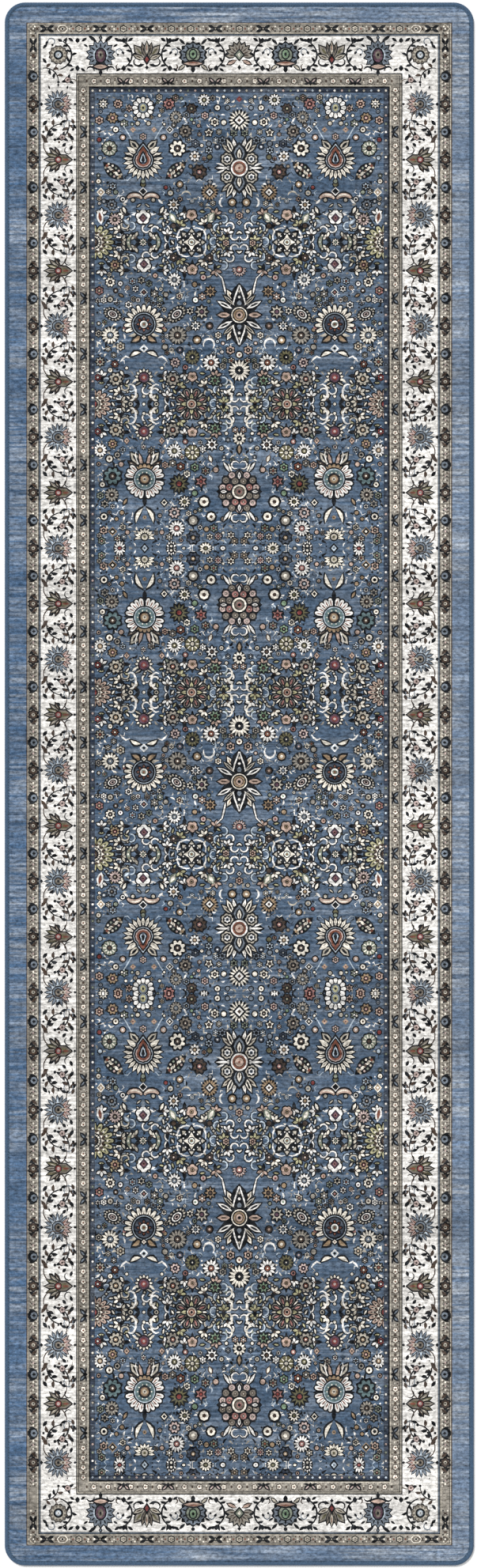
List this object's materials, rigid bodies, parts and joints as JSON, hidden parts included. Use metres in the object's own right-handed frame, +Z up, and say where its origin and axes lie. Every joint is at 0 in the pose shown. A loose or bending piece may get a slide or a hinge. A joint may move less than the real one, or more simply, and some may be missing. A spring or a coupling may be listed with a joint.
{
  "type": "runner rug",
  "caption": "Long, narrow rug with rounded corners: a printed pile face with a bordered floral field, a felt core, a non-slip rubber underside and an overlocked edge.",
  "frame": {"origin": "centre of the underside, on the floor", "axes": "+X across the rug, +Y along its length, +Z up from the floor"},
  "size_m": [0.6, 2, 0.005],
  "materials": {
    "pile_cloth": "matt short pile, printed",
    "edge_yarn": "matt twisted yarn",
    "needle_thread": "matt twisted thread",
    "latex_coat": "matt",
    "felt_core": "matt needled felt",
    "grip_backing": "matt, with raised dots"
  },
  "bodies": {
    "root": {"pile_cloth": "pile_cloth", "edge_yarn": "edge_yarn", "needle_thread": "needle_thread", "latex_coat": "latex_coat", "felt_core": "felt_core", "grip_backing": "grip_backing"}
  },
  "joints": []
}
